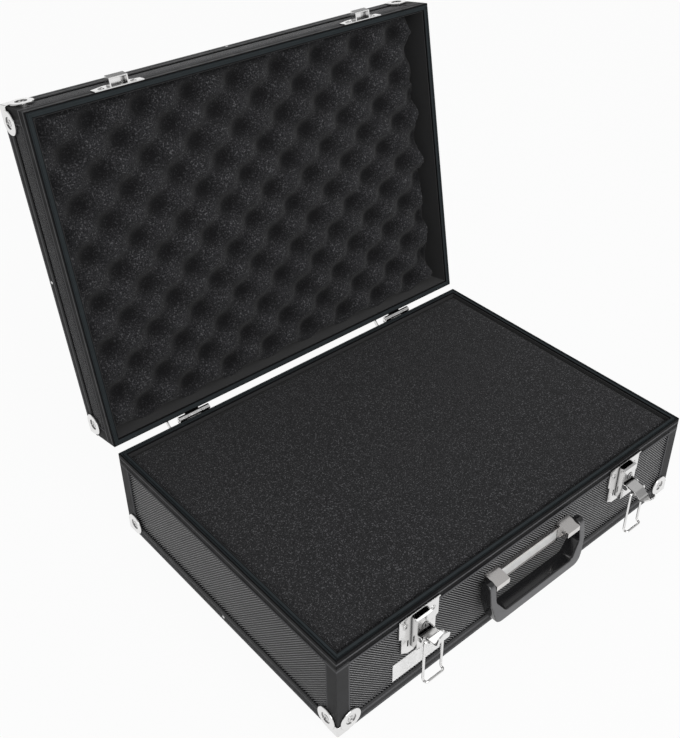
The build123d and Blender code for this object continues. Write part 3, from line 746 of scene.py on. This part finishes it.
class CAMERACASE_OT_edge_rivets(bpy.types.Operator):
    """Small rivets in the middle of the edge profiles"""

    bl_idname = "camera_case.edge_rivets"
    bl_label = "Edge Rivets"

    def execute(self, context):
        settings = context.scene.camera_case.profiles
        metal = context.scene.camera_case.metal
        tint = [v * 0.8 for v in metal.nickel]
        steel = plated("edge_rivet_steel", tint, metal.roughness + 0.1)
        head_rise = settings.rivet * 0.45
        sides = {"base": ("left", "right"), "lid": ("left", "right", "front", "back")}
        for half, chosen in sides.items():
            heads = bmesh.new()
            inward = 1 if half == "base" else -1
            height = outer_height[half] + inward * settings.rivet_height
            for side in chosen:
                outward, _, face, _ = facing(side)
                centre = outward * face + Vector((0, 0, height))
                rivet_head(heads, centre, outward, settings.rivet, head_rise)
            if half == "lid":
                bmesh.ops.transform(heads, matrix=open_lid, verts=heads.verts)
            add_piece(f"{half}_edge_rivets", heads, steel, f"{half}_rivets")
        return {"FINISHED"}


# Foam and lining


def grid_block(columns, rows, low, high, face_height, hollow_depth=None):
    """A block whose lower face is a grid at the heights that face_height gives.

    With a hollow depth, each corner also stores how far into the hollows it lies, for the painted
    shade there.
    """
    block = bmesh.new()
    shade = block.verts.layers.float.new("hollow") if hollow_depth else None
    grid = []
    for i in range(columns + 1):
        x = low.x + (high.x - low.x) * i / columns
        line = []
        for j in range(rows + 1):
            y = low.y + (high.y - low.y) * j / rows
            height = face_height(x, y)
            line.append(block.verts.new((x, y, height)))
            if shade:
                line[-1][shade] = (height - low.z) / hollow_depth
        grid.append(line)
    for i in range(columns):
        for j in range(rows):
            block.faces.new((grid[i][j], grid[i][j + 1], grid[i + 1][j + 1], grid[i + 1][j]))
    for v in close_behind(block, grid, lambda place: (place.x, place.y, high.z)):
        if shade:
            v[shade] = 1.0
    return block


def egg_crate_depth(x, y, settings):
    """Depth below the peaks: rows of round hollows, each row between those of the next."""
    row = (y + half_depth - settings.first_row) / settings.row
    column = (x + half_width - settings.first_column + settings.lean * row) / settings.column
    crown = 0.5 - 0.5 * cos(2 * pi * column) * cos(pi * row)
    peak_width, sway_per_metre, sway_height = 1.35, 14, 1 * mm
    place = Vector((x * sway_per_metre, y * sway_per_metre, 3.1))
    return max(0.0, settings.hollow * crown**peak_width + noise.noise(place) * sway_height)


class CAMERACASE_OT_lid_foam(bpy.types.Operator):
    """Egg-crate foam in the lid, with a torn right edge"""

    bl_idname = "camera_case.lid_foam"
    bl_label = "Lid Foam"

    def execute(self, context):
        settings = context.scene.camera_case.foam
        low, high = closed_box("lid_foam")
        columns, rows = 230, 164
        round_depth, round_reach = 4 * mm, 7 * mm
        torn_depth, torn_reach, torn_sway, tears_per_metre = 16 * mm, 13 * mm, 11 * mm, 60

        def face(x, y):
            edge = min(x - low.x, high.x - x, y - low.y, high.y - y)
            rounding = round_depth * max(0.0, 1 - edge / round_reach) ** 2
            sway = noise.noise(Vector((y * tears_per_metre, 0.3, 7.9)))
            reach = torn_reach + torn_sway * sway
            torn = torn_depth * max(0.0, 1 - (high.x - x) / reach) ** 0.5
            return low.z + egg_crate_depth(x, y, settings) + rounding + torn

        block = grid_block(columns, rows, low, high, face, settings.hollow)
        bmesh.ops.transform(block, matrix=open_lid, verts=block.verts)
        cell_size = 1.2
        material = open_foam("egg_crate_foam", settings.lid_foam, settings.speck, cell_size)
        foam = add_piece("egg_crate", block, material, "lid_foam")
        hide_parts("lid_foam")
        return {"FINISHED"}


class CAMERACASE_OT_base_foam(bpy.types.Operator):
    """Block of foam in the base, with the pad under it"""

    bl_idname = "camera_case.base_foam"
    bl_label = "Base Foam"

    def execute(self, context):
        settings = context.scene.camera_case.foam
        cell_size = 0.9
        columns, rows = 110, 80
        below_top, sway_height, sway_per_metre = 0.3 * mm, 0.4 * mm, 9
        material = open_foam("block_foam", settings.base_foam, settings.speck, cell_size)
        for name, node, rounding in (
            ("foam_block", "base_foam", 2.5 * mm),
            ("foam_pad", "base_foam_pad", 1.2 * mm),
        ):
            low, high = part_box(node)

            def face(x, y):
                edge = min(x - low.x, high.x - x, y - low.y, high.y - y)
                fall = rounding * max(0.0, 1 - edge / (2 * rounding)) ** 2
                place = Vector((x * sway_per_metre, y * sway_per_metre, 1.7))
                return -(high.z - fall - below_top + sway_height * noise.noise(place))

            flipped_low = Vector((low.x, low.y, -high.z))
            flipped_high = Vector((high.x, high.y, -low.z))
            block = grid_block(columns, rows, flipped_low, flipped_high, face)
            bmesh.ops.transform(block, matrix=Matrix.Scale(-1, 4, (0, 0, 1)), verts=block.verts)
            foam = add_piece(name, block, material, node)
            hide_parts(node)
        return {"FINISHED"}


class CAMERACASE_OT_linings(bpy.types.Operator):
    """Fibre lining inside the walls"""

    bl_idname = "camera_case.linings"
    bl_label = "Linings"

    def execute(self, context):
        felt = lining_felt()
        for obj in nodes_named("base_lining", "lid_lining"):
            give_material(obj, felt)
        return {"FINISHED"}


# Hardware


class CAMERACASE_OT_corner_caps(bpy.types.Operator):
    """Nickel corner caps and rivets"""

    bl_idname = "camera_case.corner_caps"
    bl_label = "Corner Caps"

    def execute(self, context):
        settings = context.scene.camera_case.metal
        caps = plated("cap_nickel", settings.nickel, settings.roughness)
        steel = [v * 0.85 for v in settings.nickel]
        rivets = plated("rivet_steel", steel, settings.roughness + 0.1)
        for obj in nodes_named("base_corner_caps", "lid_corner_caps"):
            give_material(obj, caps)
            soften(obj, settings.edge)
        for obj in nodes_named("base_rivets", "lid_rivets"):
            give_material(obj, rivets)
        return {"FINISHED"}


class CAMERACASE_OT_latches(bpy.types.Operator):
    """Latches with their plates, levers, bails and locks, and the catches on the lid"""

    bl_idname = "camera_case.latches"
    bl_label = "Latches"

    def execute(self, context):
        settings = context.scene.camera_case.metal
        sheet = plated("latch_nickel", settings.nickel, settings.roughness)
        zinc = [v * 0.6 for v in settings.nickel]
        barrel = plated("lock_metal", zinc, settings.roughness + 0.12)
        for obj in nodes_named("latch_", "lid_catch"):
            give_material(obj, sheet)
            if "bail" not in obj.name and "pin" not in obj.name:
                soften(obj, settings.edge)
        for obj in nodes_named("lock_barrel"):
            give_material(obj, barrel)
        return {"FINISHED"}


class CAMERACASE_OT_hinges(bpy.types.Operator):
    """Hinge leaves and pins"""

    bl_idname = "camera_case.hinges"
    bl_label = "Hinges"

    def execute(self, context):
        settings = context.scene.camera_case.metal
        sheet = plated("hinge_nickel", settings.nickel, settings.roughness + 0.05)
        for obj in nodes_named("hinge_"):
            give_material(obj, sheet)
        return {"FINISHED"}


def patterned_strip(width, height, thickness, pitch, depth):
    """A thin plate in the XZ plane whose face at y = 0 has a fine pattern of small studs."""
    steps_per_stud = 3
    columns, rows = int(width / pitch * steps_per_stud), int(height / pitch * steps_per_stud)
    plate = bmesh.new()
    grid = []
    for i in range(columns + 1):
        x = width * (i / columns - 0.5)
        line = []
        for j in range(rows + 1):
            z = height * j / rows
            stud = cos(2 * pi * x / pitch) * cos(2 * pi * z / pitch)
            line.append(plate.verts.new((x, depth * (0.5 - 0.5 * stud), z)))
        grid.append(line)
    for i in range(columns):
        for j in range(rows):
            plate.faces.new((grid[i][j], grid[i + 1][j], grid[i + 1][j + 1], grid[i][j + 1]))
    close_behind(plate, grid, lambda place: (place.x, thickness, place.z))
    return plate


class CAMERACASE_OT_handle(bpy.types.Operator):
    """Handle bracket with its patterned strip, and the moulded grip"""

    bl_idname = "camera_case.handle"
    bl_label = "Handle"

    def execute(self, context):
        metal = context.scene.camera_case.metal
        settings = context.scene.camera_case.handle
        warmth = (0.86, 0.84, 0.83)
        warm = [metal.nickel[k] * warmth[k] for k in range(3)]
        chrome = plated("handle_chrome", warm, metal.roughness, wave=0.08, nook=1.2)
        for obj in nodes_named("handle_bracket", "handle_pins"):
            give_material(obj, chrome)
        soften(frame["nodes"]["handle_bracket"], metal.edge)

        strip_roughness = 0.38
        thickness, stud_pitch, stud_depth = 1.6 * mm, 2.4 * mm, 0.3 * mm
        satin = plated("strip_satin", metal.nickel, strip_roughness, nook=1.0)
        plate = patterned_strip(
            settings.strip_width, settings.strip_height, thickness, stud_pitch, stud_depth
        )
        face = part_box("handle_bracket")[1].y - settings.strip_depth
        bmesh.ops.translate(plate, verts=plate.verts, vec=(0, face, settings.strip_foot))
        add_piece("handle_strip", plate, satin, "handle_bracket", smooth=False)

        shape = bmesh.new()
        shape.from_mesh(frame["nodes"]["handle_grip"].data)
        bmesh.ops.remove_doubles(shape, verts=shape.verts, dist=weld_distance)
        grip = add_piece("grip", shape, moulded_plastic(settings), "handle_grip")
        remesh = grip.modifiers.new("Remesh", "REMESH")
        remesh.mode = "VOXEL"
        remesh.voxel_size = 0.7 * mm
        remesh.use_smooth_shade = True
        smooth = grip.modifiers.new("Smooth", "SMOOTH")
        smooth.iterations = 12
        smooth.factor = 0.5
        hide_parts("handle_grip")
        return {"FINISHED"}


class CAMERACASE_OT_label(bpy.types.Operator):
    """Blank white label on the front"""

    bl_idname = "camera_case.label"
    bl_label = "Blank Label"

    def execute(self, context):
        give_material(frame["nodes"]["blank_label"], sticker_paper())
        return {"FINISHED"}


# Stage


def aim(obj, target):
    direction = Vector(target) - obj.location
    obj.rotation_mode = "QUATERNION"
    obj.rotation_quaternion = direction.to_track_quat("-Z", "Y")


def add_lamp(name, place, target, size, power):
    lamp = bpy.data.lights.new(name, "AREA")
    lamp.shape = "RECTANGLE"
    lamp.size, lamp.size_y = size
    lamp.energy = power
    obj = bpy.data.objects.new(name, lamp)
    bpy.context.scene.collection.objects.link(obj)
    obj.location = place
    aim(obj, target)


def add_camera():
    """The camera that the photograph was taken with, as its perspective shows."""
    photo_width, photo_height = 680, 738
    focal_px, centre_px = 1043.1, (397.9, 358.6)
    azimuth, elevation, roll = radians(-43.43), radians(35.97), radians(1.46)
    position = Vector((-0.5581, -0.5734, 0.7751))
    back = Vector((sin(azimuth) * cos(elevation), -cos(azimuth) * cos(elevation), sin(elevation)))
    level = Vector((cos(azimuth), sin(azimuth), 0))
    upright = back.cross(level)
    right = level * cos(roll) + upright * sin(roll)
    up = upright * cos(roll) - level * sin(roll)
    camera = bpy.data.cameras.new("photo_camera")
    camera.sensor_width = 36
    camera.lens = focal_px * camera.sensor_width / photo_height
    camera.shift_x = (photo_width / 2 - centre_px[0]) / photo_height
    camera.shift_y = (centre_px[1] - photo_height / 2) / photo_height
    camera.clip_start, camera.clip_end = 0.01, 50
    obj = bpy.data.objects.new("photo_camera", camera)
    bpy.context.scene.collection.objects.link(obj)
    turn = Matrix((right, up, back)).transposed().to_4x4()
    obj.matrix_world = Matrix.Translation(position) @ turn
    bpy.context.scene.camera = obj


def sees_background(tree):
    """Two values, each 1 or 0: one for straight rays and through glass, one for mirrored rays."""
    path = add_node(tree, "ShaderNodeLightPath").outputs
    straight = calculate(tree, "MAXIMUM", path["Is Camera Ray"], path["Is Transmission Ray"])
    return straight, path["Is Glossy Ray"]


def add_world():
    """White backdrop all round, with a darker room and its light above it."""
    world = bpy.data.worlds.new("studio")
    bpy.context.scene.world = world
    world.use_nodes = True
    tree = world.node_tree
    background = tree.nodes["Background"]
    direction = add_node(tree, "ShaderNodeTexCoord").outputs["Generated"]
    height = add_node(tree, "ShaderNodeSeparateXYZ", {"Vector": direction}).outputs["Z"]
    wall_strength, ceiling_strength, white_strength = 0.12, 0.6, 1.0
    room = spread(tree, height, 0.1, 0.9, wall_strength, ceiling_strength)
    straight, glossy = sees_background(tree)
    backdrop = calculate(tree, "MULTIPLY", glossy, spread(tree, height, 0.15, 0.3, 1.0, 0.0))
    shown = calculate(tree, "MAXIMUM", straight, backdrop)
    inputs = {0: shown, 2: room, 3: white_strength}
    strength = add_node(tree, "ShaderNodeMix", inputs, data_type="FLOAT")
    tree.links.new(strength.outputs[0], background.inputs["Strength"])
    background.inputs["Color"].default_value = (1, 1, 1, 1)


def floor_paint(tint):
    """Pale floor that shows as the white background but keeps the case's shadow."""
    glow_share = 0.95
    surface = {"Base Color": rgba(tint), "Roughness": 0.8, "Specular IOR Level": 0.1}
    material, tree, shader, _ = start_material("floor_paint", surface)
    glow = add_node(tree, "ShaderNodeEmission", {"Color": (1, 1, 1, 1), "Strength": 1.0})
    straight, glossy = sees_background(tree)
    shown = calculate(tree, "MAXIMUM", straight, glossy)
    amount = calculate(tree, "MULTIPLY", shown, glow_share)
    mixed = add_node(
        tree,
        "ShaderNodeMixShader",
        {0: amount, 1: shader.outputs["BSDF"], 2: glow.outputs["Emission"]},
    )
    tree.links.new(mixed.outputs["Shader"], tree.nodes["Material Output"].inputs["Surface"])
    return material


class CAMERACASE_OT_stage(bpy.types.Operator):
    """Pale floor, soft lamps and the camera"""

    bl_idname = "camera_case.stage"
    bl_label = "Stage"

    def execute(self, context):
        settings = context.scene.camera_case.stage
        floor_half_size = 15
        plane = bmesh.new()
        bmesh.ops.create_grid(plane, x_segments=4, y_segments=4, size=floor_half_size)
        mesh = bpy.data.meshes.new("floor")
        plane.to_mesh(mesh)
        plane.free()
        floor = bpy.data.objects.new("floor", mesh)
        context.scene.collection.objects.link(floor)
        mesh.materials.append(floor_paint(settings.floor))
        middle = (0, 0, 0.12)
        add_lamp("key_lamp", (-0.3, -1.9, 1.4), middle, (1.6, 1.2), settings.key)
        add_lamp("fill_lamp", (-1.9, 0.3, 1.1), middle, (1.2, 1.0), settings.fill)
        add_lamp("rim_lamp", (0.9, 1.2, 1.8), middle, (1.4, 0.8), settings.rim)
        add_world()
        add_camera()
        context.scene.view_settings.view_transform = "Standard"
        return {"FINISHED"}


operators = (
    CAMERACASE_OT_ribbed_boards,
    CAMERACASE_OT_profiles,
    CAMERACASE_OT_rim_lips,
    CAMERACASE_OT_edge_rivets,
    CAMERACASE_OT_lid_foam,
    CAMERACASE_OT_base_foam,
    CAMERACASE_OT_linings,
    CAMERACASE_OT_corner_caps,
    CAMERACASE_OT_latches,
    CAMERACASE_OT_hinges,
    CAMERACASE_OT_handle,
    CAMERACASE_OT_label,
    CAMERACASE_OT_stage,
)


class CAMERACASE_PT_panel(bpy.types.Panel):
    """The pieces of the case, in the order in which they are made"""

    bl_idname = "CAMERACASE_PT_panel"
    bl_label = "Camera Case"
    bl_space_type = "VIEW_3D"
    bl_region_type = "UI"
    bl_category = "Camera Case"

    def draw(self, context):
        for operator in operators:
            self.layout.operator(operator.bl_idname)


classes = (
    RibbedBoardSettings,
    ProfileSettings,
    FoamSettings,
    MetalSettings,
    HandleSettings,
    StageSettings,
    CameraCaseSettings,
    *operators,
    CAMERACASE_PT_panel,
)


def register():
    for item in classes:
        bpy.utils.register_class(item)
    bpy.types.Scene.camera_case = PointerProperty(type=CameraCaseSettings)


def unregister():
    del bpy.types.Scene.camera_case
    for item in reversed(classes):
        bpy.utils.unregister_class(item)


def main():
    register()
    for operator in operators:
        group, name = operator.bl_idname.split(".")
        getattr(getattr(bpy.ops, group), name)()


if __name__ == "__main__":
    main()
